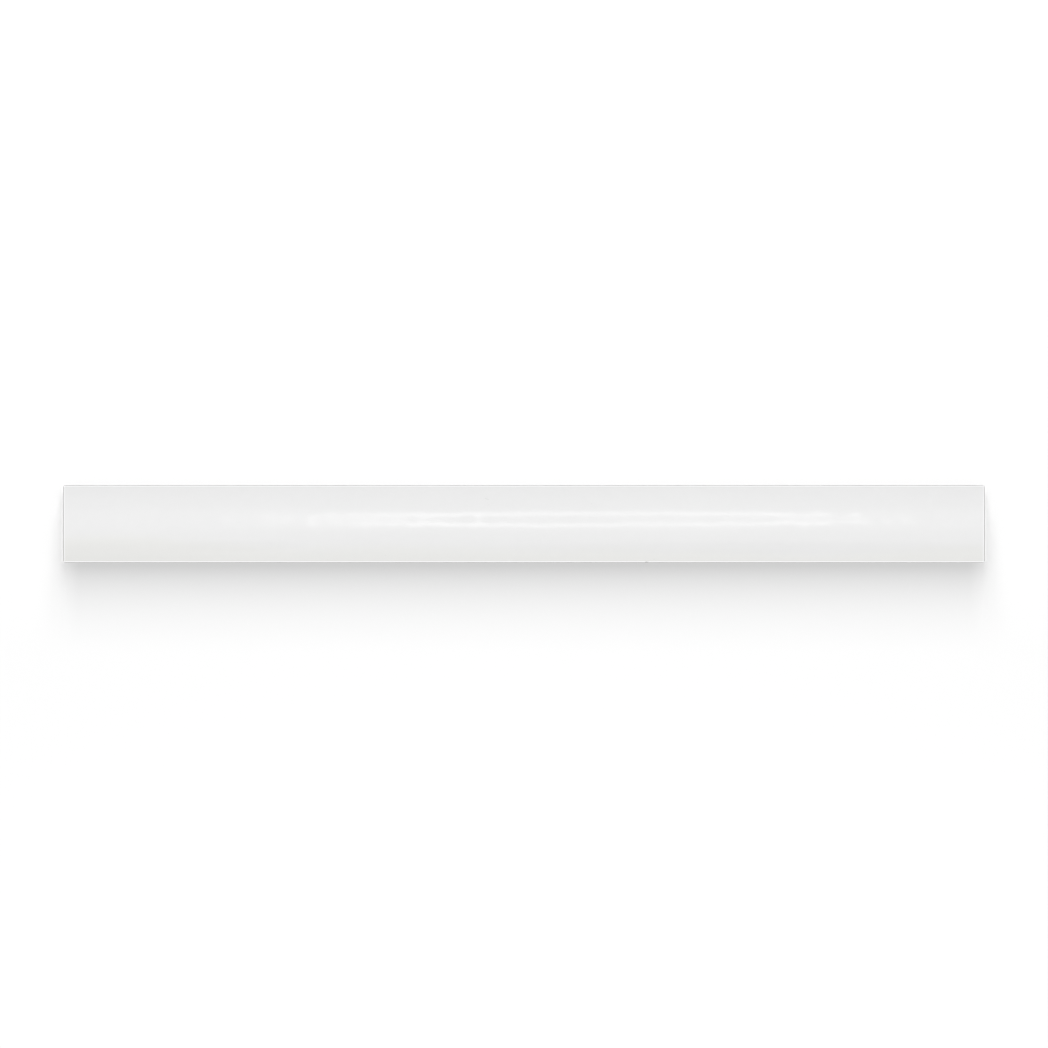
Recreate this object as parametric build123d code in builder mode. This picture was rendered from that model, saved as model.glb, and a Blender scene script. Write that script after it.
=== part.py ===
from build123d import *

import os

# Crowned porcelain trim tile, nominally 1 in by 12 in with its joint: one piece, glazed and fired.
# It lies on its back with the glazed face up. The origin is the middle of the back, +X runs along
# the length, +Y across the width and +Z out of the face. Sizes are in millimetres.

# The face and the outline
length = 301.6
width = 25.4
crown_height = 11.0  # middle of the face above the back
crown_radius = 28.0  # arc of the face across the width
corner_radius = 0.8  # upright corners, seen in plan
arris_radius = 0.6  # rolled edge between the face and the walls

# The walls below the parting line of the die
parting_height = 4.0
wall_draft = 3.0  # degrees that the lower walls lean in towards the back
foot_chamfer = 0.35

# The key grooves in the back
groove_count = 4
groove_pitch = 5.2
groove_width = 2.4  # at the mouth
groove_depth = 0.8
groove_draft = 20.0  # degrees that the groove walls lean in towards the floor
groove_end_land = 9.0  # plain back between a groove and the end of the tile

groove_length = length - 2 * groove_end_land

with BuildPart() as trim_tile:
    # Lower walls lean in from the parting line to the back
    parting_plane = Plane.XY.offset(parting_height)
    with BuildSketch(parting_plane) as lower_outline:
        RectangleRounded(length, width, corner_radius)
    extrude(amount=-parting_height, taper=wall_draft)

    # Upper walls stand upright from the parting line
    with BuildSketch(parting_plane) as upper_outline:
        RectangleRounded(length, width, corner_radius)
    extrude(amount=crown_height - parting_height)

    # The crowned face is one arc across the width, straight along the length
    with BuildSketch(Plane.YZ) as crown_section:
        with Locations((0, crown_height - crown_radius)):
            Circle(crown_radius)
    extrude(amount=length, both=True, mode=Mode.INTERSECT)

    # One arris runs unbroken round the face: long edges, ends and corners
    face = trim_tile.faces().sort_by(Axis.Z)[-1]
    fillet(face.edges(), arris_radius)

    # The foot is chamfered all round
    back = trim_tile.faces().sort_by(Axis.Z)[0]
    chamfer(back.edges(), foot_chamfer)

    # Key grooves run side by side along the back and stop short of both ends
    with BuildSketch(Plane.XY) as key_grooves:
        with GridLocations(0, groove_pitch, 1, groove_count):
            SlotOverall(groove_length, groove_width)
    extrude(amount=groove_depth, taper=groove_draft, mode=Mode.SUBTRACT)

trim_tile.part.label = "trim_tile"

os.makedirs("parts", exist_ok=True)
export_step(trim_tile.part, "parts/trim_tile.step")
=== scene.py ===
import logging
import math
from collections.abc import Iterable
from dataclasses import dataclass, field
from enum import Enum
from functools import cached_property

import bmesh
import bpy
import numpy as np
from bpy.types import Collection, Material, Mesh, Node, NodeSocket, NodeTree, Object, ShaderNodeTree
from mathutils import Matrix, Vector
from mathutils.geometry import delaunay_2d_cdt


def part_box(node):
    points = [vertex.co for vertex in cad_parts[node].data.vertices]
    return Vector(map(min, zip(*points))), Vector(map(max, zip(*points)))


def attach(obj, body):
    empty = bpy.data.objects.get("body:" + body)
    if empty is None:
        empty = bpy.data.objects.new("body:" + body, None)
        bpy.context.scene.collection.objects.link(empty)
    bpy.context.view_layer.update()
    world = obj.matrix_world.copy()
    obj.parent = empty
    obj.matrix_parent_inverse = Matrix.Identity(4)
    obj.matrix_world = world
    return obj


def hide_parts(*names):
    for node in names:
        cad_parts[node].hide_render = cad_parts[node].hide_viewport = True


# Looks of a crowned porcelain trim tile, lying on its back with the glazed face up.
# Everything is in metres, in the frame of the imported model: +X along the tile, +Y across it and
# +Z out of the face.

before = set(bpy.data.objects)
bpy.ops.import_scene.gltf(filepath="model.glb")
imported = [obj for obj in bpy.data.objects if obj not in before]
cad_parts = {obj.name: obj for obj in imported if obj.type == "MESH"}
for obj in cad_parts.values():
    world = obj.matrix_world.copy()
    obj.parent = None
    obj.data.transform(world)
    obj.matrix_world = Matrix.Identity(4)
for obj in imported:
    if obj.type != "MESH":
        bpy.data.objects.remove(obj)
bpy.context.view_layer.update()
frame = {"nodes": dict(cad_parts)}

MM = 0.001
NODE = "trim_tile"
BODY = "root"
BAKE_MAP = "OFBake"
WELD_WITHIN = 0.0001 * MM

log = logging.getLogger("trim_tile")

Pair = tuple[float, float]
Colour = tuple[float, float, float]
Feed = NodeSocket | float | tuple[float, ...]
Sockets = dict[str, NodeSocket]

WHITE: Colour = (1.0, 1.0, 1.0)


class Zone(Enum):
    """The finishes on the tile, in the order of its material slots."""

    GLAZE = 0
    BARE = 1


class Side(Enum):
    """Where a face of the tile lies, which says how the bake's map unrolls it."""

    FACE = 0
    WALLS = 1
    BACK = 2


@dataclass(frozen=True)
class TileSizes:
    """Sizes of the tile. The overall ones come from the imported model."""

    length: float
    width: float
    height: float
    crown_radius: float = 28.0 * MM
    corner_radius: float = 0.8 * MM
    arris_radius: float = 0.6 * MM
    parting_height: float = 4.0 * MM
    wall_draft: float = math.radians(3.0)
    foot_chamfer: float = 0.35 * MM
    groove_count: int = 4
    groove_pitch: float = 5.2 * MM
    groove_width: float = 2.4 * MM
    groove_depth: float = 0.8 * MM
    groove_draft: float = math.radians(20.0)
    groove_end_land: float = 9.0 * MM

    @classmethod
    def from_node(cls, node: str) -> "TileSizes":
        """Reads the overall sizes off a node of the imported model.

        Args:
            node: The node's name.

        Returns:
            The tile's sizes.
        """
        low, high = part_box(node)
        return cls(length=high.x - low.x, width=high.y - low.y, height=high.z - low.z)

    @property
    def crown_centre(self) -> float:
        """Height of the axis that the crowned face is turned about."""
        return self.height - self.crown_radius

    def crown_at(self, y: float) -> float:
        """Height of the crowned face at a place across the width."""
        return self.crown_centre + math.sqrt(self.crown_radius**2 - y**2)


@dataclass(frozen=True)
class Ripple:
    """A smooth unevenness that stays between a depth below the surface and the surface itself."""

    depth: float
    shortest: float
    longest: float
    seed: int
    waves: int = 40
    softness: float = 1.5

    def at(self, points: np.ndarray) -> np.ndarray:
        """Sums crossing waves of random direction, each as steep as the next.

        Args:
            points: Places on the surface, one row each.

        Returns:
            How far below the surface each place lies.
        """
        rng = np.random.default_rng(self.seed)
        spans = self.shortest * (self.longest / self.shortest) ** rng.random(self.waves)
        headings = rng.normal(size=(self.waves, 3))
        headings /= np.linalg.norm(headings, axis=1, keepdims=True)
        phases = rng.random(self.waves) * math.tau
        total = np.zeros(len(points))
        for span, heading, phase in zip(spans, headings, phases):
            total += span * np.sin(points @ heading * (math.tau / span) + phase)
        level = total / (math.sqrt(self.waves / 2) * spans.mean())
        return self.depth * (0.5 - 0.5 * np.tanh(level / self.softness))


@dataclass(frozen=True)
class EdgeChip:
    """A small shell-shaped chip knocked out of an edge."""

    centre: Vector
    reach: float
    depth: float
    inward: Vector
    bluntness: float = 0.8

    def cut(self, points: np.ndarray) -> np.ndarray:
        """Sinks the places round the chip.

        Args:
            points: Places on the surface, one row each.

        Returns:
            The same places with the chip taken out of them.
        """
        away = np.linalg.norm(points - np.array(self.centre), axis=1) / self.reach
        bite = np.clip(1 - away**2, 0, 1) ** self.bluntness
        return points + np.outer(bite * self.depth, np.array(self.inward.normalized()))


@dataclass(frozen=True)
class Outline:
    """Stations round a rectangle, or round a line where it has no width.

    Each station has a base point on the rectangle and the direction that leads straight out of it,
    so that a ring at any reach has rounded corners of that radius.
    """

    base: np.ndarray
    out: np.ndarray

    @classmethod
    def round(cls, x_lines: np.ndarray, y_lines: np.ndarray, corner_steps: int) -> "Outline":
        """Walks round the rectangle that the lines span, against the clock.

        Args:
            x_lines: Stations along the length, rising.
            y_lines: Stations across the width, rising.
            corner_steps: Steps that each quarter turn is divided into.

        Returns:
            The outline.
        """
        base: list[tuple[float, float]] = []
        out: list[tuple[float, float]] = []
        right, left = x_lines[-1], x_lines[0]
        top, bottom = y_lines[-1], y_lines[0]
        sides = (
            [(right, y) for y in y_lines],
            [(x, top) for x in x_lines[::-1]],
            [(left, y) for y in y_lines[::-1]],
            [(x, bottom) for x in x_lines],
        )
        for quarter, side in enumerate(sides):
            heading = quarter * math.pi / 2
            base += side
            out += [(math.cos(heading), math.sin(heading))] * len(side)
            for step in range(1, corner_steps):
                turn = heading + step / corner_steps * math.pi / 2
                base.append(side[-1])
                out.append((math.cos(turn), math.sin(turn)))
        return cls(np.array(base), np.array(out))

    def ring(self, reach: float) -> np.ndarray:
        """Plan places of a ring that lies a reach outside the rectangle."""
        return self.base + reach * self.out


@dataclass(frozen=True)
class UnrolledTile:
    """The bake's map: the tile cut across its middle and unrolled into strips that fill a square."""

    sizes: TileSizes
    gap: float = 1.0 * MM
    past_middle: float = 1.6 * MM
    wall_height: float = 8.0 * MM
    rolls_over_at: float = 0.55
    rolls_above: float = 6.0 * MM

    def lay(self, mesh: Mesh, sides: list[Side]) -> None:
        """Lays the map on a mesh, each strip the right way round and at one scale.

        Args:
            mesh: The mesh, before its places are welded.
            sides: Where each face lies.
        """
        count = len(mesh.polygons)
        normals, middles = np.empty((count, 3)), np.empty((count, 3))
        mesh.polygons.foreach_get("normal", normals.ravel())
        mesh.polygons.foreach_get("center", middles.ravel())
        places = np.empty((len(mesh.vertices), 3))
        mesh.vertices.foreach_get("co", places.ravel())
        corners, totals = np.empty(len(mesh.loops), dtype=int), np.empty(count, dtype=int)
        mesh.loops.foreach_get("vertex_index", corners)
        mesh.polygons.foreach_get("loop_total", totals)

        strips = self._strips()
        chosen = self._choose(normals, middles, np.array([side.value for side in sides]))
        chosen = np.repeat(chosen, totals)
        x, y, z = places[corners].T
        along = np.column_stack((x, -x, y, -y))[np.arange(len(corners)), strips[chosen, 0].astype(int)]
        across = np.where(strips[chosen, 1] == 0, y, z)
        side = strips[-1, 3] + self.sizes.height + self.gap
        laid = np.column_stack((along + strips[chosen, 2], across + strips[chosen, 3])) / side
        mesh.uv_layers.new(name=BAKE_MAP).uv.foreach_set("vector", laid.ravel())

    def _strips(self) -> np.ndarray:
        """Where the strips lie in the square.

        Returns:
            A row for each strip: which way its length runs (x, -x, y or -y), which way its height
            runs (y or z), and the shift of either.
        """
        s = self.sizes
        rows: list[tuple[float, float, float, float]] = []
        level = self.gap / 2
        left, right = s.length / 2 + self.gap / 2, self.past_middle + self.gap / 2
        for run, up, low, high in (
            (0, 0, -s.width / 2, s.width / 2),
            (1, 0, -s.width / 2, s.width / 2),
            (0, 1, 0.0, self.wall_height),
            (1, 1, 0.0, self.wall_height),
        ):
            for shift in (left, right) if run == 0 else (right, left):
                rows.append((run, up, shift, level - low))
                level += high - low + self.gap
        rows.append((2, 1, s.width / 2 + self.gap / 2, level))
        rows.append((3, 1, s.width * 1.5 + self.gap * 1.5, level))
        return np.array(rows)

    def _choose(self, normals: np.ndarray, middles: np.ndarray, sides: np.ndarray) -> np.ndarray:
        """Picks each face's strip.

        Args:
            normals: The faces' normals, either way round.
            middles: Their middles.
            sides: Where they lie, by number.

        Returns:
            The row of each face's strip.
        """
        right = middles[:, 0] > 0
        strip = np.where(sides == Side.BACK.value, 2, 0) + right
        flank = np.where(middles[:, 1] < 0, 4, 6) + right
        end = np.where(right, 8, 9)
        wall = np.where(abs(normals[:, 0]) > abs(normals[:, 1]), end, flank)
        high = middles[:, 2] > self.rolls_above
        rolled = (abs(normals[:, 2]) > self.rolls_over_at) & high
        upright = (sides == Side.WALLS.value) & ~rolled
        return np.where(upright, wall, strip)


@dataclass
class Facets:
    """Places and faces of one mesh as they are laid down, with a zone for each face."""

    places: list[np.ndarray] = field(default_factory=list)
    faces: list[tuple[int, ...]] = field(default_factory=list)
    zones: list[Zone] = field(default_factory=list)
    sides: list[Side] = field(default_factory=list)
    count: int = 0

    def add(self, places: np.ndarray) -> np.ndarray:
        """Lays down places.

        Args:
            places: One row each.

        Returns:
            Their numbers in the mesh.
        """
        start = self.count
        self.places.append(places)
        self.count += len(places)
        return np.arange(start, self.count)

    def face(self, corners: Iterable[int], zone: Zone, side: Side) -> None:
        """Lays down one face.

        Args:
            corners: The numbers of its places.
            zone: Its finish.
            side: Where it lies.
        """
        self.faces.append(tuple(int(corner) for corner in corners))
        self.zones.append(zone)
        self.sides.append(side)

    def stack(self, rings: list[np.ndarray], zone: Zone = Zone.GLAZE, side: Side = Side.FACE) -> None:
        """Lays down closed rings of as many places and joins each to the next.

        Args:
            rings: The rings' places, in order.
            zone: Their faces' finish.
            side: Where they lie.
        """
        numbers = [self.add(ring) for ring in rings]
        for first, second in zip(numbers, numbers[1:]):
            for corners in zip(first, np.roll(first, -1), np.roll(second, -1), second):
                self.face(corners, zone, side)

    def grid(self, places: np.ndarray) -> None:
        """Lays down a grid of places and its faces.

        Args:
            places: The places, rows by columns by three.
        """
        rows, columns = places.shape[:2]
        numbers = self.add(places.reshape(-1, 3)).reshape(rows, columns)
        corners = (numbers[:-1, :-1], numbers[1:, :-1], numbers[1:, 1:], numbers[:-1, 1:])
        for face in zip(*(corner.ravel() for corner in corners)):
            self.face(face, Zone.GLAZE, Side.FACE)

    def object(self, name: str, sharp_over: float,
               unrolled: UnrolledTile | None = None) -> Object:
        """Welds the places that coincide and makes the object.

        Args:
            name: The object's name.
            sharp_over: Angle between faces above which their shared edge stays crisp.
            unrolled: The bake's map, for an object that has one.

        Returns:
            The object, linked into the scene.
        """
        mesh = bpy.data.meshes.new(name)
        mesh.from_pydata(np.concatenate(self.places).tolist(), [], self.faces)
        mesh.polygons.foreach_set("material_index", [zone.value for zone in self.zones])
        if unrolled:
            unrolled.lay(mesh, self.sides)
        welded = bmesh.new()
        welded.from_mesh(mesh)
        bmesh.ops.remove_doubles(welded, verts=welded.verts, dist=WELD_WITHIN)
        bmesh.ops.recalc_face_normals(welded, faces=welded.faces)
        open_edges = sum(len(edge.link_faces) != 2 for edge in welded.edges)
        welded.to_mesh(mesh)
        welded.free()
        mesh.polygons.foreach_set("use_smooth", [True] * len(mesh.polygons))
        mesh.set_sharp_from_angle(angle=sharp_over)
        made = bpy.data.objects.new(name, mesh)
        bpy.context.scene.collection.objects.link(made)
        log.info("%s: %d faces, %d open edges", name, len(mesh.polygons), open_edges)
        return made


@dataclass
class NodeSheet:
    """A node tree as it is drawn up, with short calls for the nodes that the finishes use."""

    tree: NodeTree

    def put(self, kind: str, *values: Feed, **settings: object) -> Node:
        """Adds a node.

        Args:
            kind: The node's type name.
            values: What goes into its first inputs, in order.
            settings: The node's own settings, by name.

        Returns:
            The node.
        """
        node = self.tree.nodes.new(kind)
        for name, value in settings.items():
            setattr(node, name, value)
        for socket, value in zip(node.inputs, values):
            self.feed(socket, value)
        return node

    def feed(self, target: NodeSocket, source: Feed) -> None:
        """Links a socket, or sets its value where the source is one.

        Args:
            target: The socket that is fed.
            source: What goes in.
        """
        if isinstance(source, NodeSocket):
            self.tree.links.new(source, target)
        elif isinstance(source, tuple) and target.type == "RGBA":
            target.default_value = (*source[:3], 1.0)
        else:
            target.default_value = source

    def wire(self, node: Node, **values: Feed) -> Node:
        """Feeds a node's inputs by name.

        Args:
            node: The node.
            values: What goes in, with an underscore for each space in an input's name.

        Returns:
            The node.
        """
        for name, value in values.items():
            self.feed(node.inputs[name.replace("_", " ")], value)
        return node

    def math(self, operation: str, *values: Feed) -> NodeSocket:
        """Works out a number from one to three others."""
        return self.put("ShaderNodeMath", *values, operation=operation).outputs[0]

    def times(self, first: Feed, *others: Feed) -> Feed:
        """Multiplies numbers.

        Args:
            first: The first number.
            others: What it is multiplied by, in order.

        Returns:
            The product.
        """
        for other in others:
            first = self.math("MULTIPLY", first, other)
        return first

    def vector(self, operation: str, *values: Feed) -> Node:
        """Works on vectors. What the node puts out depends on the operation."""
        return self.put("ShaderNodeVectorMath", *values, operation=operation)

    def split(self, vector: Feed) -> tuple[NodeSocket, ...]:
        """The three parts of a vector."""
        return tuple(self.put("ShaderNodeSeparateXYZ", vector).outputs)

    def scale(self, colour: Feed, factor: Feed) -> NodeSocket:
        """Makes a colour lighter or darker."""
        return self.wire(self.vector("SCALE", colour), Scale=factor).outputs[0]

    def ramp(self, value: Feed, low: Feed, high: Feed, start: Feed = 0.0, end: Feed = 1.0,
             smooth: bool = True) -> NodeSocket:
        """Turns the range from low to high into the one from start to end, held at both ends.

        Args:
            value: What goes in.
            low: Where its range starts.
            high: Where that ends.
            start: The result at its start.
            end: The result at its end.
            smooth: Whether it eases in and out.

        Returns:
            The result.
        """
        settings = {"interpolation_type": "SMOOTHSTEP" if smooth else "LINEAR", "clamp": True}
        node = self.put("ShaderNodeMapRange", value, low, high, start, end, **settings)
        return node.outputs["Result"]

    def blend(self, share: Feed, first: Feed, second: Feed) -> NodeSocket:
        """Mixes two colours.

        Args:
            share: How much of the second there is.
            first: The first colour.
            second: The second colour.

        Returns:
            The mixed colour.
        """
        node = self.put("ShaderNodeMix", share, data_type="RGBA")
        self.feed(node.inputs[6], first)
        self.feed(node.inputs[7], second)
        return node.outputs[2]

    def noise(self, place: Feed, span: Feed, detail: float = 2.0) -> NodeSocket:
        """Even noise from 0 to 1 whose lumps are about a span across."""
        values = {"Vector": place, "Scale": self.math("DIVIDE", 1.0, span), "Detail": detail}
        return self.wire(self.put("ShaderNodeTexNoise"), **values).outputs["Fac"]

    def bump(self, height: Feed, distance: float) -> NodeSocket:
        """Turns a height into a bumped normal."""
        return self.wire(self.put("ShaderNodeBump"), Distance=distance, Height=height).outputs[0]

    def own_place(self) -> NodeSocket:
        """The place on the object, in its own frame."""
        return self.put("ShaderNodeTexCoord").outputs["Object"]

    def use(self, group: ShaderNodeTree, **values: Feed) -> Node:
        """Puts in a node group, with values for its inputs."""
        return self.wire(self.put("ShaderNodeGroup", node_tree=group), **values)


class SharedEffects:
    """Node groups that more than one finish uses, each built once."""

    def __init__(self) -> None:
        """Builds every group."""
        self.drift = self._drift()
        self.grain = self._grain()
        self.spot = self._spot()
        self.specks = self._specks()
        self.edges = self._edges()

    @staticmethod
    def _start(name: str, vectors: tuple[str, ...], numbers: tuple[str, ...],
               gives: tuple[str, ...]) -> tuple[NodeSheet, Sockets, Sockets]:
        """Starts a group that puts out numbers.

        Args:
            name: The group's name.
            vectors: The vectors that it takes.
            numbers: The numbers that it takes.
            gives: The numbers that it puts out.

        Returns:
            The sheet to draw on, what it takes by name and what it puts out by name.
        """
        tree = bpy.data.node_groups.new(name, "ShaderNodeTree")
        for labels, way, kind in (
            (vectors, "INPUT", "NodeSocketVector"),
            (numbers, "INPUT", "NodeSocketFloat"),
            (gives, "OUTPUT", "NodeSocketFloat"),
        ):
            for label in labels:
                tree.interface.new_socket(name=label, in_out=way, socket_type=kind)
        sheet = NodeSheet(tree)
        takes = dict(sheet.put("NodeGroupInput").outputs.items())
        return sheet, takes, dict(sheet.put("NodeGroupOutput").inputs.items())

    def _drift(self) -> ShaderNodeTree:
        """Slow change of tone over the surface, as a factor about 1.

        Returns:
            The group.
        """
        sheet, takes, gives = self._start("tone_drift", ("Place",), ("Span", "Amount"), ("Factor",))
        lumps = sheet.noise(takes["Place"], takes["Span"], detail=3.0)
        swing = sheet.times(sheet.math("SUBTRACT", lumps, 0.5), takes["Amount"])
        sheet.feed(gives["Factor"], sheet.math("MULTIPLY_ADD", swing, 2.0, 1.0))
        return sheet.tree

    def _grain(self) -> ShaderNodeTree:
        """Fine unevenness in two sizes, as a height from 0 to 1.

        Returns:
            The group.
        """
        sheet, takes, gives = self._start("fine_grain", ("Place",), ("Span", "Fineness"), ("Height",))
        coarse_share, fine_share = 0.65, 0.35
        coarse = sheet.noise(takes["Place"], takes["Span"], detail=1.0)
        fine = sheet.noise(takes["Place"], sheet.math("DIVIDE", takes["Span"], takes["Fineness"]))
        coarse = sheet.times(coarse, coarse_share)
        sheet.feed(gives["Height"], sheet.math("MULTIPLY_ADD", fine, fine_share, coarse))
        return sheet.tree

    def _spot(self) -> ShaderNodeTree:
        """One oval, turned about the upright, as a mask.

        Returns:
            The group.
        """
        vectors = ("Place", "Centre", "Half Sizes")
        sheet, takes, gives = self._start("oval_mask", vectors, ("Turn",), ("Mask",))
        solid = 0.35
        offset = sheet.vector("SUBTRACT", takes["Place"], takes["Centre"]).outputs[0]
        turned = sheet.put("ShaderNodeVectorRotate", rotation_type="Z_AXIS")
        sheet.wire(turned, Vector=offset, Angle=sheet.times(takes["Turn"], -1.0))
        scaled = sheet.vector("DIVIDE", turned.outputs[0], takes["Half Sizes"]).outputs[0]
        reach = sheet.vector("LENGTH", scaled).outputs["Value"]
        sheet.feed(gives["Mask"], sheet.ramp(reach, solid, 1.0, 1.0, 0.0))
        return sheet.tree

    def _specks(self) -> ShaderNodeTree:
        """Scattered round specks, as a mask. Only a share of the cells holds one.

        Returns:
            The group.
        """
        numbers = ("Spacing", "Radius", "Share")
        sheet, takes, gives = self._start("scattered_specks", ("Place",), numbers, ("Mask",))
        smallest, solid = 0.3, 0.4
        cells = sheet.put("ShaderNodeTexVoronoi", feature="F1")
        sheet.wire(cells, Vector=takes["Place"], Scale=sheet.math("DIVIDE", 1.0, takes["Spacing"]))
        near = sheet.times(cells.outputs["Distance"], takes["Spacing"])
        lot = sheet.put("ShaderNodeSeparateColor", cells.outputs["Color"])
        drawn = sheet.math("LESS_THAN", lot.outputs[0], takes["Share"])
        share = sheet.math("MULTIPLY_ADD", lot.outputs[1], 1.0 - smallest, smallest)
        size = sheet.times(takes["Radius"], share)
        spot = sheet.ramp(near, sheet.times(size, solid), size, 1.0, 0.0)
        sheet.feed(gives["Mask"], sheet.times(drawn, spot))
        return sheet.tree

    def _edges(self) -> ShaderNodeTree:
        """How far a place lies inside the ends and the long edges, seen from above.

        Returns:
            The group.
        """
        halves = ("Half Length", "Half Width")
        sides = ("Ends", "Upper Edge", "Lower Edge")
        sheet, takes, gives = self._start("edge_distances", ("Place",), halves, sides)
        x, y, _ = sheet.split(takes["Place"])
        away = sheet.math("ABSOLUTE", x)
        sheet.feed(gives["Ends"], sheet.math("SUBTRACT", takes["Half Length"], away))
        sheet.feed(gives["Upper Edge"], sheet.math("SUBTRACT", takes["Half Width"], y))
        sheet.feed(gives["Lower Edge"], sheet.math("ADD", takes["Half Width"], y))
        return sheet.tree


class TileSheet(NodeSheet):
    """The sheet of a material on or beside the tile, with the measures that it is painted by."""

    def __init__(self, name: str, effects: SharedEffects, sizes: TileSizes) -> None:
        """Starts the material.

        Args:
            name: The material's name.
            effects: The shared node groups.
            sizes: The tile's sizes.
        """
        self.material = bpy.data.materials.new(name)
        self.material.use_nodes = True
        super().__init__(self.material.node_tree)
        self.shader = self.tree.nodes["Principled BSDF"]
        self.effects, self.sizes = effects, sizes
        self.place = self.own_place()
        halves = {"Half_Length": sizes.length / 2, "Half_Width": sizes.width / 2}
        self.edges = self.use(effects.edges, Place=self.place, **halves).outputs
        self.long_edges = self.math("MINIMUM", self.edges["Upper Edge"], self.edges["Lower Edge"])

    def drift(self, span: float, amount: float) -> NodeSocket:
        """A slow change of tone, as a factor about 1."""
        group = self.use(self.effects.drift, Place=self.place, Span=span, Amount=amount)
        return group.outputs["Factor"]

    def grain(self, span: float, fineness: float) -> NodeSocket:
        """A fine unevenness, as a height from 0 to 1."""
        group = self.use(self.effects.grain, Place=self.place, Span=span, Fineness=fineness)
        return group.outputs["Height"]

    def specks(self, spacing: float, radius: float, share: float) -> NodeSocket:
        """Scattered specks, as a mask."""
        values = {"Place": self.place, "Spacing": spacing, "Radius": radius, "Share": share}
        return self.use(self.effects.specks, **values).outputs["Mask"]


@dataclass(frozen=True)
class OvalDarkening:
    """One oval darkening on the face, turned about the upright: a small dark mark, or a broad faint
    band of painted shade.
    """

    centre: Pair
    half_length: float
    half_width: float
    strength: float
    turn: float = 0.0
    half_height: float = 0.6 * MM

    def mask(self, sheet: TileSheet) -> NodeSocket:
        """Draws the mark or the band of painted shade.

        Args:
            sheet: The sheet to draw on.

        Returns:
            The mark's mask, as dark as its strength.
        """
        spot = sheet.use(
            sheet.effects.spot,
            Place=sheet.place,
            Centre=(*self.centre, sheet.sizes.crown_at(self.centre[1])),
            Turn=self.turn,
            Half_Sizes=(self.half_length, self.half_width, self.half_height),
        )
        return sheet.times(spot.outputs["Mask"], self.strength)


@dataclass(frozen=True)
class PaintedEdgeLines:
    """Painted light along one kind of edge: a white painted highlight line, then a darker painted shade
    line outside it.
    """

    name: str
    line_width: float
    highlight_stop: float
    highlight_share: float
    shade_share: float
    corner_shade_share: float


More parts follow.
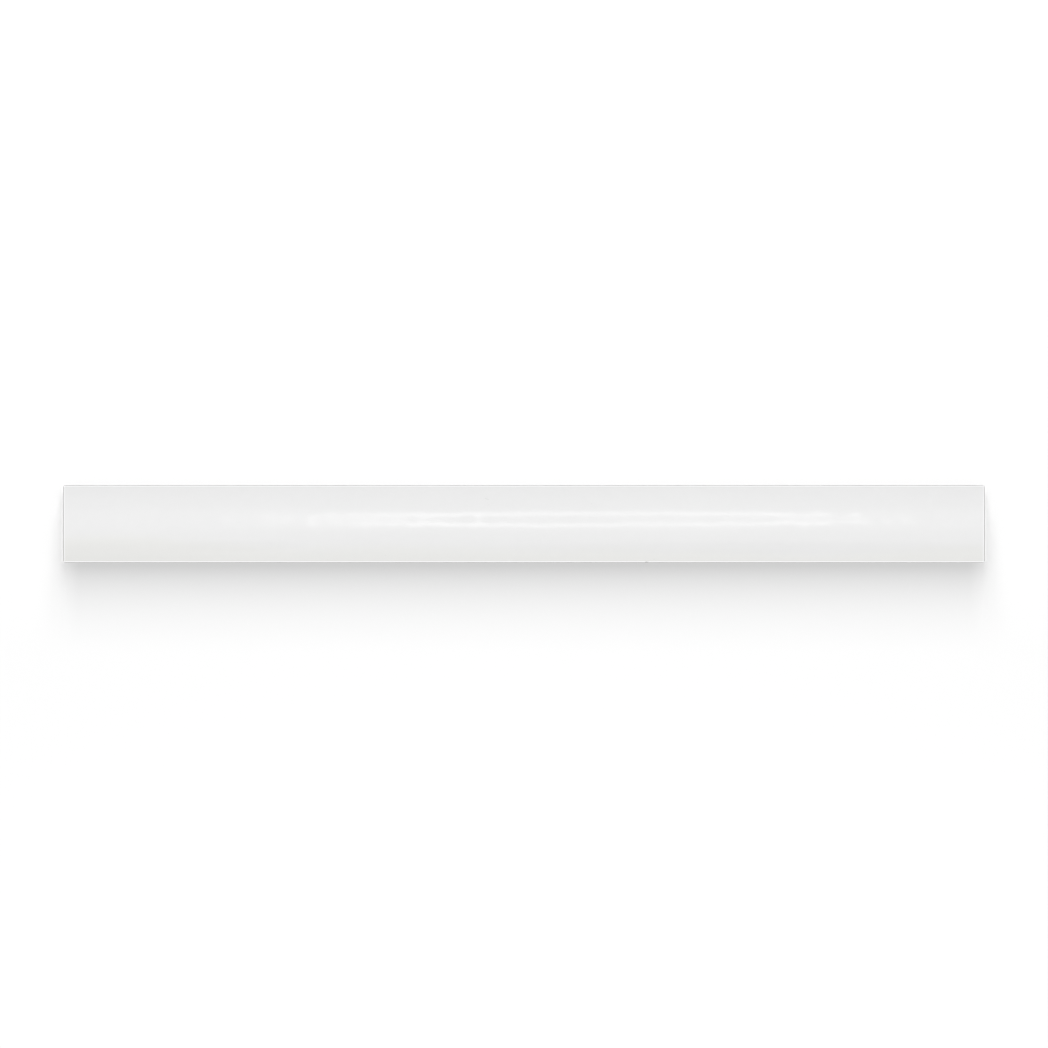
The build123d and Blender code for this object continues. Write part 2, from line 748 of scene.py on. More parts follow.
@dataclass(frozen=True)
class GlazeFinish:
    """White gloss glaze, fused to the body, with a painted highlight line inside each edge and a
    painted shade line over the arris outside it.
    """

    name: str = "white_gloss_glaze"
    white: Colour = (0.853, 0.853, 0.853)
    # Painted warm reflection along the lower edge, and painted shade in that band towards the left end.
    warm_reflection: Colour = (0.845, 0.845, 0.829)
    faint_warm_reflection: Colour = (0.852, 0.852, 0.835)
    # Painted highlight and painted shade colours for the lines along the edges.
    painted_highlight: Colour = (0.99, 0.99, 0.99)
    painted_shade: Colour = (0.40, 0.40, 0.395)
    painted_lower_shade: Colour = (0.825, 0.825, 0.808)
    # Dark colour of the pinholes and marks, and of the bands of painted shade.
    speck_and_shade: Colour = (0.33, 0.335, 0.32)
    refraction: float = 1.5
    left_range: Pair = (-150.0 * MM, -75.0 * MM)
    dull_shift: float = 3.3 * MM
    faint_reflection_shift: float = 2.0 * MM
    reflection_range: Pair = (2.0 * MM, 6.6 * MM)
    wander_span: float = 60.0 * MM
    wander: float = 8.0 * MM
    slow_drift: Pair = (35.0 * MM, 0.012)
    quick_drift: Pair = (3.0 * MM, 0.010)
    edges: tuple[PaintedEdgeLines, ...] = (
        PaintedEdgeLines("Ends", 0.47 * MM, 0.745 * MM, 1.0, 0.35, 0.22),
        PaintedEdgeLines("Lower Edge", 0.21 * MM, 0.56 * MM, 1.0, 0.30, 0.30),
        PaintedEdgeLines("Upper Edge", 0.26 * MM, 0.59 * MM, 0.62, 0.16, 0.16),
    )
    edge_blur: float = 0.033 * MM
    corner_range: Pair = (0.7 * MM, 9.7 * MM)
    lean_range: Pair = (0.02, 0.25)
    wobble_span: float = 2.5 * MM
    wobble: float = 0.08
    roughness: Pair = (0.07, 0.13)
    haze_span: float = 22.0 * MM
    haze_range: Pair = (0.3, 0.7)
    peel_span: float = 1.6 * MM
    peel_fineness: float = 2.3
    peel_height: float = 0.0012 * MM
    pinhole_spacing: float = 7.0 * MM
    pinhole_radius: float = 0.11 * MM
    pinhole_share: float = 0.05
    pinhole_strength: float = 0.10
    mark_roughness: float = 0.3
    mark_depth: float = 4.0
    marks_and_shade: tuple[OvalDarkening, ...] = ()

    def material(self, effects: SharedEffects, sizes: TileSizes) -> Material:
        """Makes the glaze.

        Args:
            effects: The shared node groups.
            sizes: The tile's sizes.

        Returns:
            The material.
        """
        sheet = TileSheet(self.name, effects, sizes)
        colour = self._edge_highlight_and_shade(sheet, self._glaze_colour(sheet))
        # Small marks and pinholes, with broad bands of painted shade among the marks.
        dark = self._marks_and_shade_mask(sheet)
        haze = sheet.noise(sheet.place, self.haze_span, detail=3.0)
        rough = sheet.ramp(haze, *self.haze_range, *self.roughness)
        peel = sheet.grain(self.peel_span, self.peel_fineness)
        height = sheet.math("SUBTRACT", peel, sheet.times(dark, self.mark_depth))
        sheet.wire(
            sheet.shader,
            Base_Color=sheet.blend(dark, colour, self.speck_and_shade),
            Roughness=sheet.math("MULTIPLY_ADD", dark, self.mark_roughness, rough),
            Normal=sheet.bump(height, self.peel_height),
            IOR=self.refraction,
        )
        return sheet.material

    def _glaze_colour(self, sheet: TileSheet) -> NodeSocket:
        """Colour of the open glaze: white, drifting a little, with a painted warm reflection along the
        lower edge and painted shade in that band towards the left end.

        Args:
            sheet: The sheet to draw on.

        Returns:
            The colour.
        """
        wander = sheet.math("SUBTRACT", sheet.noise(sheet.place, self.wander_span), 0.5)
        depth = sheet.math("MULTIPLY_ADD", wander, self.wander, sheet.edges["Lower Edge"])
        x = sheet.split(sheet.place)[0]
        left = sheet.ramp(x, *self.left_range, 1.0, 0.0)
        depth = sheet.math("MULTIPLY_ADD", left, -self.dull_shift, depth)
        early = sheet.math("SUBTRACT", depth, self.faint_reflection_shift)
        faintly_reflected = sheet.ramp(early, *self.reflection_range, 1.0, 0.0)
        reflected_warmth = sheet.ramp(depth, *self.reflection_range, 1.0, 0.0)
        # Painted warm reflection along the lower edge, reaching further in towards the left end, then
        # painted shade in it at the left end.
        colour = sheet.blend(sheet.times(left, faintly_reflected), self.white, self.faint_warm_reflection)
        colour = sheet.blend(reflected_warmth, colour, self.warm_reflection)
        colour = sheet.blend(sheet.times(left, reflected_warmth), colour, self.painted_lower_shade)
        drift = sheet.times(sheet.drift(*self.slow_drift), sheet.drift(*self.quick_drift))
        return sheet.scale(colour, drift)

    def _edge_highlight_and_shade(self, sheet: TileSheet, colour: Feed) -> Feed:
        """Paints a white highlight line inside the edges and a darker shade line over the arris outside
        it.

        Args:
            sheet: The sheet to draw on.
            colour: The colour of the open glaze.

        Returns:
            The colour with the painted highlight and shade lines in it.
        """
        upwards = sheet.split(sheet.put("ShaderNodeNewGeometry").outputs["Normal"])[2]
        leaning = sheet.ramp(upwards, *self.lean_range)
        waver = sheet.noise(sheet.place, self.wobble_span)
        wobble = sheet.math("MULTIPLY_ADD", waver, self.wobble, 1.0 - self.wobble / 2)
        blur = self.edge_blur
        for edge in self.edges:
            inside = sheet.times(sheet.edges[edge.name], wobble)
            past_line = sheet.ramp(inside, edge.line_width - blur, edge.line_width + blur)
            before_stop = sheet.ramp(inside, edge.highlight_stop - blur, edge.highlight_stop + blur, 1.0, 0.0)
            # Painted highlight: a white line just inside each edge, where the arris would catch the
            # light.
            highlighted = sheet.times(past_line, before_stop, edge.highlight_share)
            colour = sheet.blend(highlighted, colour, self.painted_highlight)
            # Painted shade: a darker line over the outer arris, where it turns away from the light.
            shares = (edge.corner_shade_share, edge.shade_share)
            share = sheet.ramp(sheet.long_edges, *self.corner_range, *shares, smooth=False)
            in_shade_line = sheet.math("SUBTRACT", 1.0, past_line)
            colour = sheet.blend(sheet.times(in_shade_line, leaning, share), colour, self.painted_shade)
        return colour

    def _marks_and_shade_mask(self, sheet: TileSheet) -> Feed:
        """Puts the small marks, the broad bands of painted shade and the pinholes into one mask.

        Args:
            sheet: The sheet to draw on.

        Returns:
            How dark each place is.
        """
        pinholes = sheet.specks(self.pinhole_spacing, self.pinhole_radius, self.pinhole_share)
        dark = sheet.times(pinholes, self.pinhole_strength)
        for mark in self.marks_and_shade:
            dark = sheet.math("MAXIMUM", dark, mark.mask(sheet))
        return dark


@dataclass(frozen=True)
class BareFinish:
    """Bare fired porcelain on the lower walls and the back: matt, with a dusting of kiln wash."""

    name: str = "bare_porcelain"
    body: Colour = (0.74, 0.73, 0.70)
    wash: Colour = (0.83, 0.82, 0.80)
    iron: Colour = (0.42, 0.35, 0.28)
    patch_span: float = 9.0 * MM
    patch_range: Pair = (0.42, 0.66)
    wash_strength: float = 0.75
    tone_span: float = 1.2 * MM
    tone_amount: float = 0.05
    rub_width: float = 1.4 * MM
    rub_solid: float = 0.15
    rub_strength: float = 0.35
    speck_spacing: float = 3.2 * MM
    speck_radius: float = 0.16 * MM
    speck_share: float = 0.16
    speck_strength: float = 0.6
    pit_depth: float = 1.5
    grain_span: float = 0.35 * MM
    grain_fineness: float = 2.6
    grain_height: float = 0.012 * MM
    roughness: Pair = (0.62, 0.86)
    rough_range: Pair = (0.3, 0.7)

    def material(self, effects: SharedEffects, sizes: TileSizes) -> Material:
        """Makes the bare body.

        Args:
            effects: The shared node groups.
            sizes: The tile's sizes.

        Returns:
            The material.
        """
        sheet = TileSheet(self.name, effects, sizes)
        patches = sheet.noise(sheet.place, self.patch_span, detail=4.0)
        washed = sheet.times(sheet.ramp(patches, *self.patch_range), self.wash_strength)
        colour = sheet.blend(washed, self.body, self.wash)
        colour = sheet.scale(colour, sheet.drift(self.tone_span, self.tone_amount))
        nearest = sheet.math("MINIMUM", sheet.long_edges, sheet.edges["Ends"])
        solid = self.rub_width * self.rub_solid
        rubbed = sheet.ramp(nearest, solid, self.rub_width, self.rub_strength, 0.0)
        colour = sheet.blend(rubbed, colour, self.wash)
        specks = sheet.specks(self.speck_spacing, self.speck_radius, self.speck_share)
        grain = sheet.grain(self.grain_span, self.grain_fineness)
        height = sheet.math("SUBTRACT", grain, sheet.times(specks, self.pit_depth))
        sheet.wire(
            sheet.shader,
            Base_Color=sheet.blend(sheet.times(specks, self.speck_strength), colour, self.iron),
            Roughness=sheet.ramp(patches, *self.rough_range, *self.roughness),
            Normal=sheet.bump(height, self.grain_height),
        )
        return sheet.material


@dataclass
class TrimTile:
    """The tile: one closed mesh with a glazed and a bare zone."""

    sizes: TileSizes
    glaze: GlazeFinish
    bare: BareFinish
    chip: EdgeChip
    along_step: float = 0.7 * MM
    across_step: float = 0.45 * MM
    chip_step: float = 0.12 * MM
    chip_span: float = 1.2
    groove_step: float = 1.5 * MM
    land_step: float = 1.9 * MM
    land_row_share: float = 0.8
    land_gap_share: float = 0.45
    groove_gap_share: float = 0.6
    groove_floor_share: float = 0.45
    groove_steps: int = 7
    corner_steps: int = 5
    arris_steps: int = 7
    wall_steps: int = 6
    lower_steps: int = 5
    inset: float = 0.012 * MM
    glaze_thickness: float = 0.09 * MM
    lip_height: float = 0.10 * MM
    lip_rings: tuple[Pair, ...] = ((0.25, 0.7), (0.75, 0.85), (1.0, 1.0))
    swell_share: float = 0.9
    swell_power: int = 4
    flash_height: float = 0.08 * MM
    flash_reach: float = 0.035 * MM
    above_flash: float = 0.12 * MM
    below_flash: float = 0.5 * MM
    over_flash_shares: Pair = (0.35, 0.8)
    worn_edge: float = 0.05 * MM
    glaze_line: float = 4.85 * MM
    sharp_over: float = math.radians(32.0)
    wall_ripple_share: float = 0.3
    glaze_ripple: Ripple = Ripple(depth=0.034 * MM, shortest=4.0 * MM, longest=14.0 * MM, seed=11)
    body_ripple: Ripple = Ripple(depth=0.030 * MM, shortest=1.2 * MM, longest=9.0 * MM, seed=5)
    line_ripple: Ripple = Ripple(depth=0.50 * MM, shortest=5.0 * MM, longest=38.0 * MM, seed=23)
    facets: Facets = field(default_factory=Facets)

    def build(self, effects: SharedEffects) -> Object:
        """Makes the mesh and dresses it.

        Args:
            effects: The shared node groups.

        Returns:
            The tile.
        """
        self._lay_face()
        self._lay_arris_and_walls()
        self._lay_back()
        self.facets.places = [self.chip.cut(places) for places in self.facets.places]
        tile = self.facets.object("glazed_trim_tile", self.sharp_over, UnrolledTile(self.sizes))
        tile.data.materials.append(self.glaze.material(effects, self.sizes))
        tile.data.materials.append(self.bare.material(effects, self.sizes))
        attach(tile, BODY)
        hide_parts(NODE)
        return tile

    @property
    def _half_core(self) -> tuple[float, float]:
        """Half the length and half the width inside the corner radii."""
        s = self.sizes
        return s.length / 2 - s.corner_radius, s.width / 2 - s.corner_radius

    @cached_property
    def _outline(self) -> Outline:
        """The stations round the tile."""
        return Outline.round(self._x_lines(), self._y_lines(), self.corner_steps)

    @property
    def _groove_half(self) -> float:
        """Half the length of the grooves' straight sides."""
        return self.sizes.length / 2 - self.sizes.groove_end_land - self.sizes.groove_width / 2

    @property
    def _groove_rows(self) -> np.ndarray:
        """Where the grooves lie across the tile."""
        s = self.sizes
        return (np.arange(s.groove_count) - (s.groove_count - 1) / 2) * s.groove_pitch

    def _x_lines(self) -> np.ndarray:
        """Stations along the tile, closer together at the chip.

        Returns:
            The stations, rising.
        """
        half = self._half_core[0]
        even = np.linspace(-half, half, round(2 * half / self.along_step) + 1)
        near = self.chip.reach * self.chip_span
        clear = even[abs(even - self.chip.centre.x) > near]
        close = np.linspace(-near, near, round(2 * near / self.chip_step) + 1) + self.chip.centre.x
        return np.sort(np.concatenate((clear, close)))

    def _y_lines(self) -> np.ndarray:
        """Stations across the tile."""
        half = self._half_core[1]
        return np.linspace(-half, half, round(2 * half / self.across_step) + 1)

    def _ball_centres(self, plan: np.ndarray) -> tuple[np.ndarray, np.ndarray]:
        """Centres of a ball of the arris radius that rolls under the crown.

        Args:
            plan: Where it is, seen from above.

        Returns:
            Its centres, and the directions from them to where it touches the crown.
        """
        s = self.sizes
        inner = s.crown_radius - s.arris_radius
        rise = np.sqrt(inner**2 - plan[:, 1] ** 2)
        centres = np.column_stack((plan, s.crown_centre + rise))
        normals = np.column_stack((np.zeros(len(plan)), plan[:, 1], rise)) / inner
        return centres, normals

    def _sunk(self, places: np.ndarray, normals: np.ndarray, ripple: Ripple,
              share: float = 1.0) -> np.ndarray:
        """Moves places into the surface by the inset and its ripple.

        Args:
            places: Places on the surface.
            normals: The way out of it at each.
            ripple: Its unevenness.
            share: How much of that there is.

        Returns:
            The places moved.
        """
        return places - normals * (self.inset + share * ripple.at(places))[:, None]

    def _lay_face(self) -> None:
        """Lays down the crowned face as far as the arris's corner centres."""
        x, y = np.meshgrid(self._x_lines(), self._y_lines())
        centres, normals = self._ball_centres(np.column_stack((x.ravel(), y.ravel())))
        crown = centres + normals * self.sizes.arris_radius
        crown = self._sunk(crown, normals, self.glaze_ripple)
        self.facets.grid(crown.reshape(*x.shape, 3))

    def _lay_arris_and_walls(self) -> None:
        """Lays down the rolled arris, the glazed walls with their lip, the bare walls and the foot."""
        s, outline = self.sizes, self._outline
        sideways = np.pad(outline.out, ((0, 0), (0, 1)))
        core, upright = self._ball_centres(outline.base)
        core = self._sunk(core + upright * s.arris_radius, upright, self.glaze_ripple)
        centres, upright = self._ball_centres(outline.ring(s.corner_radius - s.arris_radius))
        whole = np.arccos(np.clip((upright * sideways).sum(1), -1, 1))[:, None]
        glazed = [core]
        for step in range(self.arris_steps + 1):
            turn = whole * step / self.arris_steps
            normals = (upright * np.sin(whole - turn) + sideways * np.sin(turn)) / np.sin(whole)
            share = 1 - (1 - self.wall_ripple_share) * step / self.arris_steps
            rolled = centres + normals * s.arris_radius
            glazed.append(self._sunk(rolled, normals, self.glaze_ripple, share))

        start = centres[:, 2]
        end = self.glaze_line - self.line_ripple.at(np.pad(outline.base, ((0, 0), (0, 1))))
        glaze = (self.glaze_ripple, self.wall_ripple_share)
        for step in range(1, self.wall_steps + 1):
            height = start + (end - start) * step / self.wall_steps
            swell = self.inset * self.swell_share * (step / self.wall_steps) ** self.swell_power
            glazed.append(self._ring(s.corner_radius + swell, height, *glaze))
        for inward, down in self.lip_rings:
            reach = s.corner_radius - self.glaze_thickness * inward
            glazed.append(self._ring(reach, end - self.lip_height * down, *glaze))
        self.facets.stack(glazed, Zone.GLAZE, Side.WALLS)

        bare_reach = s.corner_radius - self.glaze_thickness
        under_lip = end - self.lip_height
        to_flash = s.parting_height + self.above_flash - under_lip
        stations = [(bare_reach, under_lip + to_flash * share) for share in self.over_flash_shares]
        high, out = self.flash_height, self.flash_reach
        for rise, flash in ((high, 0.0), (0.0, out), (-high, 0.0)):
            stations.append((bare_reach + flash, s.parting_height + rise))
        below = s.parting_height - self.below_flash
        for height in np.linspace(below, s.foot_chamfer, self.lower_steps):
            lean = (s.parting_height - height) * math.tan(s.wall_draft)
            stations.append((bare_reach - lean, height))
        bare = [self._ring(*station, self.body_ripple) for station in stations]
        self.facets.stack([glazed[-1], *bare, self._foot_ring()], Zone.BARE, Side.WALLS)

    @staticmethod
    def _wall(outline: Outline, reach: float, height: np.ndarray | float) -> np.ndarray:
        """A ring on the walls at a reach and a height."""
        plan = outline.ring(reach)
        return np.column_stack((plan, np.broadcast_to(height, len(plan))))

    def _ring(self, reach: float, height: np.ndarray | float, ripple: Ripple,
              share: float = 1.0) -> np.ndarray:
        """A ring on the walls at a reach and a height, moved in by the inset and a ripple."""
        sideways = np.pad(self._outline.out, ((0, 0), (0, 1)))
        return self._sunk(self._wall(self._outline, reach, height), sideways, ripple, share)

    def _foot_ring(self) -> np.ndarray:
        """The ring where the foot chamfer meets the back.

        Returns:
            The ring's places.
        """
        s = self.sizes
        setback = self.glaze_thickness + s.parting_height * math.tan(s.wall_draft) + s.foot_chamfer
        return self._on_back(self._outline.ring(s.corner_radius - setback))

    def _on_back(self, plan: np.ndarray) -> np.ndarray:
        """Lays places on the lands of the back, which ripples up from its plane.

        Args:
            plan: Where they are, seen from above.

        Returns:
            The places.
        """
        flat = np.pad(plan, ((0, 0), (0, 1)))
        flat[:, 2] = self.body_ripple.at(flat)
        return flat

    def _lay_back(self) -> None:
        """Lays down the lands of the back and the key grooves between them."""
        half = self._groove_half
        stations = np.linspace(-half, half, round(2 * half / self.groove_step) + 1)
        rows = self._groove_rows[:, None]
        grooves = [Outline.round(stations, row, self.groove_steps) for row in rows]
        self._lay_lands([self._foot_ring()] + [self._lay_groove(groove) for groove in grooves])

    def _lay_groove(self, groove: Outline) -> np.ndarray:
        """Lays down one key groove.

        Args:
            groove: The stations round the groove.

        Returns:
            The ring of its mouth.
        """
        s = self.sizes
        mouth = s.groove_width / 2
        lean = math.tan(s.groove_draft)
        worn = self.worn_edge
        rings = [self._on_back(groove.ring(mouth + worn))]
        for depth in (worn, s.groove_depth / 2, s.groove_depth - 2 * worn):
            ring = self._wall(groove, mouth - depth * lean, depth)
            ring[:, 2] -= self.body_ripple.at(ring) / 2
            rings.append(ring)
        floor = mouth - s.groove_depth * lean
        for reach in (floor - worn, floor * self.groove_floor_share, 0.0):
            ring = self._wall(groove, reach, s.groove_depth)
            ring[:, 2] -= self.body_ripple.at(ring)
            rings.append(ring)
        self.facets.stack(rings, Zone.BARE, Side.BACK)
        return rings[0]

    def _lay_lands(self, loops: list[np.ndarray]) -> None:
        """Fills the back between its outline and the grooves' mouths.

        Args:
            loops: The rings that bound it, the outline first.
        """
        reach = self.sizes.groove_width / 2 + self.worn_edge
        gap = self.land_step * self.land_gap_share
        high = loops[0][:, :2].max(0) - gap
        x = np.arange(-high[0], high[0], self.land_step)
        y = np.arange(-high[1], high[1], self.land_step * self.land_row_share)
        inner = np.array([(a, b) for b in y for a in x])
        inner = inner[self._from_groove(inner) > reach + gap * self.groove_gap_share]
        plan = np.concatenate([loop[:, :2] for loop in loops] + [inner])
        edges: list[tuple[int, int]] = []
        start = 0
        for loop in loops:
            numbers = np.arange(start, start + len(loop))
            edges += [(int(a), int(b)) for a, b in zip(numbers, np.roll(numbers, -1))]
            start += len(loop)
        inside_only, nearest = 1, 1e-9
        points = [Vector(place) for place in plan.tolist()]
        made = delaunay_2d_cdt(points, edges, [], inside_only, nearest, False)
        laid = np.array([tuple(place) for place in made[0]])
        numbers = self.facets.add(self._on_back(laid))
        for face in made[2]:
            middle = laid[list(face)].mean(0)[None]
            if self._from_groove(middle)[0] > reach:
                self.facets.face((numbers[corner] for corner in face), Zone.BARE, Side.BACK)

    def _from_groove(self, plan: np.ndarray) -> np.ndarray:
        """Measures how far each place is from the middle line of the nearest groove.

        Args:
            plan: The places, seen from above.

        Returns:
            The distances.
        """
        past = np.clip(abs(plan[:, 0]) - self._groove_half, 0, None)
        across = abs(plan[:, 1][:, None] - self._groove_rows).min(1)
        return np.hypot(past, across)


class LightSheet(NodeSheet):
    """The sheet of a lamp's material, which starts empty."""

    def __init__(self, name: str) -> None:
        """Starts the material.

        Args:
            name: The material's name.
        """
        self.material = bpy.data.materials.new(name)
        self.material.use_nodes = True
        super().__init__(self.material.node_tree)
        self.tree.nodes.clear()

    def shine(self, strength: Feed, clear: bool) -> Material:
        """Gives the material its light.

        Args:
            strength: The strength of the light.
            clear: Whether rays also go through it.

        Returns:
            The material.
        """
        surface = self.wire(self.put("ShaderNodeEmission"), Strength=strength).outputs[0]
        if clear:
            through = self.put("ShaderNodeBsdfTransparent").outputs[0]
            surface = self.put("ShaderNodeAddShader", through, surface).outputs[0]
        self.put("ShaderNodeOutputMaterial", surface)
        return self.material


def hide_from(made: Object, *rays: str) -> None:
    """Hides an object from some kinds of ray."""
    for ray in rays:
        setattr(made, f"visible_{ray}", False)


@dataclass(frozen=True)
class LampPanel:
    """An oval ring lamp in a long soft panel, level over the tile and hidden from the camera."""

    height: float = 1.05
    centre: Pair = (0.0212, 0.119)
    turn: float = math.radians(2.5)
    half_length: float = 0.32
    half_width: float = 0.38
    flank_from: float = 0.4
    end_from: float = 0.3
    end_to: float = 0.8
    ring_outside: Pair = (0.0930, 0.193)
    ring_inside: Pair = (0.074, 0.092)
    ring_inside_shift: Pair = (0.0064, -0.004)
    ring_lean: float = 0.19
    ring_squareness: float = 3.0
    outside_blur: float = 0.22
    inside_blur: float = 0.30
    middle_from: float = 0.1
    middle_to: float = 0.22
    ring_middle_level: float = 0.53
    panel_level: float = 0.34
    panel_end_share: float = 0.14
    ring_level: float = 3.0
    white_level: float = 1.0

    def build(self) -> None:
        """Makes the panel."""
        facets = Facets()
        x, y = (np.array((-half, half)) for half in (self.half_length, self.half_width))
        facets.grid(np.stack(np.meshgrid(x, y) + [np.zeros((2, 2))], axis=2))
        panel = facets.object("lamp_panel", math.pi)
        panel.location = (*self.centre, self.height)
        panel.rotation_euler.z = self.turn
        panel.data.materials.append(self._material())
        hide_from(panel, "camera", "diffuse", "shadow")

    def _oval(self, sheet: NodeSheet, place: tuple[Feed, Feed], half: Pair) -> NodeSocket:
        """How far out a place lies on a squared oval, 1 on its outline.

        Args:
            sheet: The sheet to draw on.
            place: The place along the panel and across it.
            half: The oval's half sizes.

        Returns:
            The reach.
        """
        shares = [sheet.math("DIVIDE", at, size) for at, size in zip(place, half)]
        powers = [
            sheet.math("POWER", sheet.math("ABSOLUTE", share), self.ring_squareness) for share in shares
        ]
        return sheet.math("POWER", sheet.math("ADD", *powers), 1 / self.ring_squareness)

    def _material(self) -> Material:
        """The panel's light: even in the middle, softer to its ends, with the ring on top.

        Returns:
            The material.
        """
        sheet = LightSheet("lamp_light")
        x, y, _ = sheet.split(sheet.own_place())
        far_x, far_y = sheet.math("ABSOLUTE", x), sheet.math("ABSOLUTE", y)
        flank = sheet.ramp(far_y, self.half_width * self.flank_from, self.half_width, 1.0, 0.0)
        near, far = self.end_from * self.half_length, self.end_to * self.half_length
        ends = sheet.ramp(far_x, near, far, 1.0, self.panel_end_share)
        leaned = sheet.math("MULTIPLY_ADD", x, -self.ring_lean, y)
        outside = self._oval(sheet, (x, leaned), self.ring_outside)
        outer = sheet.ramp(outside, 1.0 - self.outside_blur, 1.0 + self.outside_blur, 1.0, 0.0)
        shifts = zip((x, leaned), self.ring_inside_shift)
        shifted = tuple(sheet.math("SUBTRACT", at, shift) for at, shift in shifts)
        inside = self._oval(sheet, shifted, self.ring_inside)
        inner = sheet.ramp(inside, 1.0 - self.inside_blur, 1.0 + self.inside_blur)
        near, far = self.middle_from * self.half_length, self.middle_to * self.half_length
        sides = sheet.ramp(far_x, near, far, self.ring_middle_level, 1.0)
        soft = sheet.times(flank, ends, self.panel_level)
        band = sheet.times(outer, inner, sides)
        light = sheet.math("MULTIPLY_ADD", band, self.ring_level, soft)
        return sheet.shine(sheet.math("ADD", light, self.white_level), clear=False)


@dataclass(frozen=True)
class FloorScreen:
    """A curved light screen behind the tile, brightest at its foot.

    It lights the floor alone, so that the tile's shadow falls forwards and fades out slowly.
    """

    radius: float = 1.6
    half_width: float = 0.30
    lowest: float = math.radians(16.5)
    highest: float = math.radians(82.0)
    steps: int = 16
    level: float = 12.2
    fading: float = 1.8

    def build(self, lit: Collection) -> None:
        """Makes the screen.

        Args:
            lit: What it lights.
        """
        rise = np.linspace(self.lowest, self.highest, self.steps)
        y, z = self.radius * np.cos(rise), self.radius * np.sin(rise)
        x = np.full_like(rise, self.half_width)
        sides = (np.column_stack((-x, y, z)), np.column_stack((x, y, z)))
        facets = Facets()
        facets.grid(np.stack(sides, axis=1))
        screen = facets.object("floor_screen", math.pi)
        screen.data.materials.append(self._material())
        screen.light_linking.receiver_collection = lit
        hide_from(screen, "camera", "glossy", "shadow")

    def _material(self) -> Material:
        """The screen's light, which fades as it rises.

        Returns:
            The material.
        """
        sheet = LightSheet("screen_light")
        rise = sheet.math("DIVIDE", sheet.split(sheet.own_place())[2], self.radius)
        fade = sheet.math("POWER", rise, -self.fading)
        return sheet.shine(sheet.times(fade, self.level), clear=True)


@dataclass(frozen=True)
class EndLight:
    """Light that the paper holds round the tile's ends and in front of its lower corners."""

    beyond: float = 0.050
    beyond_range: Pair = (-3.8 * MM, -0.2 * MM)
    inside: float = 0.045
    inside_range: Pair = (-0.6 * MM, 1.0 * MM)
    inside_fading: Pair = (0.5 * MM, 5.8 * MM)
    beside_gain: float = 1.6
    beside_to: float = 5.7 * MM
    reach_forward: float = 28.0 * MM
    forward_fading: float = 1.7
    top_range: Pair = (2.6 * MM, 11.0 * MM)

    def level(self, sheet: TileSheet) -> Feed:
        """Draws the light, highest just inside each end's line.

        Args:
            sheet: The sheet to draw on.

        Returns:
            The level of the light.
        """
        ends, front = sheet.edges["Ends"], sheet.edges["Lower Edge"]
        beside = sheet.ramp(front, 0.0, self.beside_to, 1.0, self.beside_gain)
        beyond = sheet.ramp(ends, *self.beyond_range, 0.0, self.beyond)
        inside = sheet.ramp(ends, *self.inside_range, 0.0, self.inside)
        forward = sheet.ramp(front, -self.reach_forward, 0.0, smooth=False)
        return sheet.times(
            sheet.math("MULTIPLY_ADD", beyond, beside, inside),
            sheet.ramp(ends, *self.inside_fading, 1.0, 0.0),
            sheet.math("POWER", forward, self.forward_fading),
            sheet.ramp(sheet.edges["Upper Edge"], *self.top_range),
        )


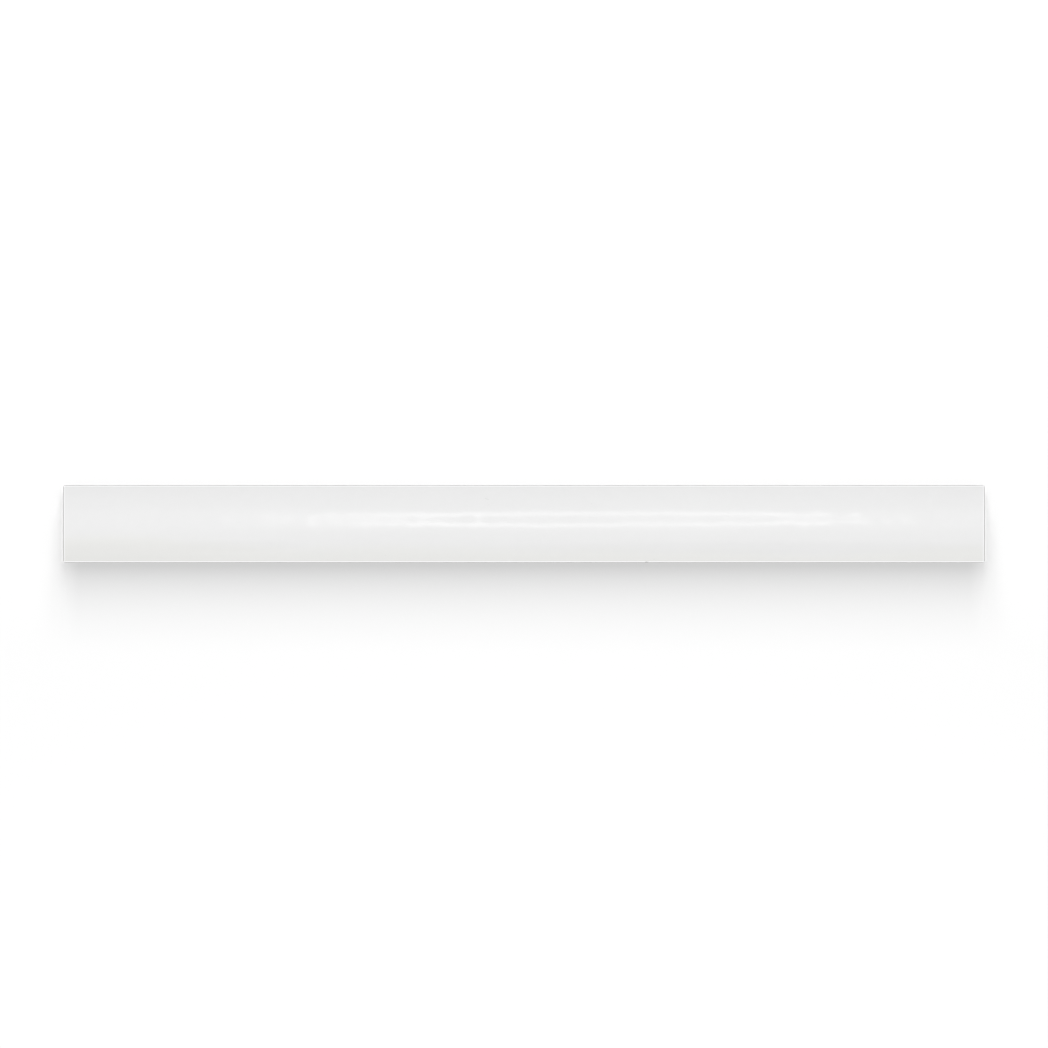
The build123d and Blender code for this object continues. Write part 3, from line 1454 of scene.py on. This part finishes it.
@dataclass(frozen=True)
class Studio:
    """The camera, the pale floor, the sky and the lamps."""

    sizes: TileSizes
    photo_side_px: float = 1048.0
    tile_length_px: float = 922.4
    camera_distance: float = 10.0
    clip: Pair = (1.2, 30.0)
    sensor: float = 36.0
    floor_half: float = 3.0
    floor_colour: Colour = (0.15, 0.15, 0.15)
    floor_lift: float = 0.524
    floor_opening_inset: float = 0.70 * MM
    far_lift: float = 0.40
    far_range: Pair = (0.26, 0.90)
    front_lift: float = 0.07
    front_range: Pair = (0.042, 0.170)
    foot_light: float = 0.08
    foot_light_width: float = 0.615 * MM
    foot_light_solid: float = 0.9
    foot_light_tuck: float = 0.05 * MM
    foot_light_corner: float = 0.8 * MM
    end_light: EndLight = EndLight()
    sky_range: Pair = (0.36, 1.32)
    sky_lean: float = 0.04
    sky_under: float = 0.80
    panel: LampPanel = LampPanel()
    screen: FloorScreen = FloorScreen()

    def build(self, effects: SharedEffects) -> None:
        """Makes everything round the tile.

        Args:
            effects: The shared node groups.
        """
        scene = bpy.context.scene
        scene.view_settings.view_transform = "Standard"
        scene.cycles.filter_width = 1.0
        scene.camera = self._camera()
        lit = bpy.data.collections.new("floor_only")
        lit.objects.link(self._floor(effects))
        self._sky()
        self.panel.build()
        self.screen.build(lit)

    def _camera(self) -> Object:
        """A long lens straight above the tile, framed as the photograph is.

        Returns:
            The camera.
        """
        seen = self.sizes.length * self.photo_side_px / self.tile_length_px
        data = bpy.data.cameras.new("camera")
        data.sensor_width = self.sensor
        data.lens = self.sensor * self.camera_distance / seen
        data.clip_start, data.clip_end = self.clip
        camera = bpy.data.objects.new("camera", data)
        bpy.context.scene.collection.objects.link(camera)
        camera.location = (0.0, 0.0, self.sizes.height + self.camera_distance)
        return camera

    @staticmethod
    def _white_rays(sheet: NodeSheet) -> NodeSocket:
        """Tells the rays that see the background: from the camera, off gloss or through glass.

        Args:
            sheet: The sheet to draw on.

        Returns:
            1 for those rays and 0 for the others.
        """
        rays = sheet.put("ShaderNodeLightPath").outputs
        seen = sheet.math("MAXIMUM", rays["Is Camera Ray"], rays["Is Glossy Ray"])
        return sheet.math("MAXIMUM", seen, rays["Is Transmission Ray"])

    def _floor(self, effects: SharedEffects) -> Object:
        """A pale floor that reads as white paper and keeps the tile's shadow.

        It is open under the tile and clear from below, so that the back can be seen and lit.

        Args:
            effects: The shared node groups.

        Returns:
            The floor.
        """
        around = np.array(((-1.0, -1.0, 0.0), (1.0, -1.0, 0.0), (1.0, 1.0, 0.0), (-1.0, 1.0, 0.0)))
        opening = np.array((self.sizes.length, self.sizes.width, 0.0)) / 2 - self.floor_opening_inset
        facets = Facets()
        facets.stack([around * self.floor_half, around * opening])
        floor = facets.object("floor", math.pi)
        if floor.data.polygons[0].normal.z < 0:
            floor.data.flip_normals()
        floor.data.materials.append(self._paper(effects))
        return floor

    def _paper(self, effects: SharedEffects) -> Material:
        """The floor's paper, with a hair of light on it at the foot of each end.

        Args:
            effects: The shared node groups.

        Returns:
            The material.
        """
        sheet = TileSheet("white_paper", effects, self.sizes)
        ends, width = sheet.edges["Ends"], self.foot_light_width
        beside = sheet.times(
            sheet.ramp(ends, -width, -width * self.foot_light_solid),
            sheet.ramp(ends, 0.0, self.foot_light_tuck, 1.0, 0.0),
            sheet.ramp(sheet.long_edges, 0.0, self.foot_light_corner),
        )
        away = sheet.vector("LENGTH", sheet.place).outputs["Value"]
        far = self.floor_lift + self.far_lift
        lift = sheet.ramp(away, *self.far_range, self.floor_lift, far)
        ahead = sheet.times(sheet.split(sheet.place)[1], -1.0)
        front = sheet.ramp(ahead, *self.front_range, 0.0, self.front_lift, smooth=False)
        lift = sheet.math("ADD", lift, front)
        lift = sheet.math("MULTIPLY_ADD", beside, self.foot_light, lift)
        lift = sheet.math("ADD", lift, self.end_light.level(sheet))
        sheet.wire(
            sheet.shader,
            Base_Color=self.floor_colour,
            Roughness=1.0,
            Specular_IOR_Level=0.0,
            Emission_Color=WHITE,
            Emission_Strength=sheet.times(self._white_rays(sheet), lift),
        )
        behind = sheet.put("ShaderNodeNewGeometry").outputs["Backfacing"]
        clear = sheet.put("ShaderNodeBsdfTransparent").outputs[0]
        side = sheet.put("ShaderNodeMixShader", behind, sheet.shader.outputs[0], clear)
        sheet.wire(sheet.tree.nodes["Material Output"], Surface=side.outputs[0])
        return sheet.material

    def _sky(self) -> None:
        """A plain sky, brighter overhead, that the camera and the gloss see as white."""
        world = bpy.data.worlds.new("studio_sky")
        bpy.context.scene.world = world
        world.use_nodes = True
        sheet = NodeSheet(world.node_tree)
        _, y, z = sheet.split(sheet.put("ShaderNodeTexCoord").outputs["Generated"])
        rise = sheet.ramp(z, 0.0, 1.0, *self.sky_range, smooth=False)
        light = sheet.times(rise, sheet.math("MULTIPLY_ADD", y, self.sky_lean, 1.0))
        under = sheet.times(sheet.math("LESS_THAN", z, 0.0), self.sky_under)
        light = sheet.math("MAXIMUM", light, under)
        past_white = sheet.math("SUBTRACT", 1.0, light)
        strength = sheet.math("MULTIPLY_ADD", past_white, self._white_rays(sheet), light)
        sheet.wire(world.node_tree.nodes["Background"], Color=WHITE, Strength=strength)


def main() -> None:
    """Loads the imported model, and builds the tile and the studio."""
    logging.basicConfig(level=logging.INFO, format="%(name)s: %(message)s")
    log.info("packed model: %s", ", ".join(frame["nodes"]))
    sizes = TileSizes.from_node(NODE)
    effects = SharedEffects()
    marks_and_shade = (
        # The first two are broad faint bands of painted shade on the lower half of the crown; the rest
        # are small dark spots, the last one on the chip.
        OvalDarkening((78.0 * MM, -7.9 * MM), 115.0 * MM, 3.0 * MM, 0.034, half_height=3.0 * MM),
        OvalDarkening((-93.0 * MM, -7.2 * MM), 30.0 * MM, 2.5 * MM, 0.026, half_height=3.0 * MM),
        OvalDarkening((-12.2 * MM, 8.2 * MM), 1.2 * MM, 0.25 * MM, 0.10, math.radians(-20.0)),
        OvalDarkening((-11.6 * MM, 6.2 * MM), 0.5 * MM, 0.20 * MM, 0.05, math.radians(30.0)),
        OvalDarkening((-45.3 * MM, -10.3 * MM), 0.40 * MM, 0.30 * MM, 0.06),
        OvalDarkening((-64.3 * MM, -11.6 * MM), 0.35 * MM, 0.30 * MM, 0.05),
        OvalDarkening((22.1 * MM, 6.6 * MM), 0.35 * MM, 0.35 * MM, 0.05),
        OvalDarkening((42.5 * MM, -11.5 * MM), 0.30 * MM, 0.22 * MM, 0.12),
        OvalDarkening((40.0 * MM, -12.55 * MM), 0.55 * MM, 0.34 * MM, 0.62),
    )
    chip = EdgeChip(
        centre=Vector((40.1 * MM, -12.65 * MM, 7.9 * MM)),
        reach=0.6 * MM,
        depth=0.22 * MM,
        inward=Vector((0.0, 0.8, -0.6)),
    )
    tile = TrimTile(sizes, GlazeFinish(marks_and_shade=marks_and_shade), BareFinish(), chip)
    piece = tile.build(effects)
    log.info("%s rides on %s and stands for %s", piece.name, BODY, NODE)
    Studio(sizes).build(effects)
    log.info("studio is set up")


if __name__ == "__main__":
    main()
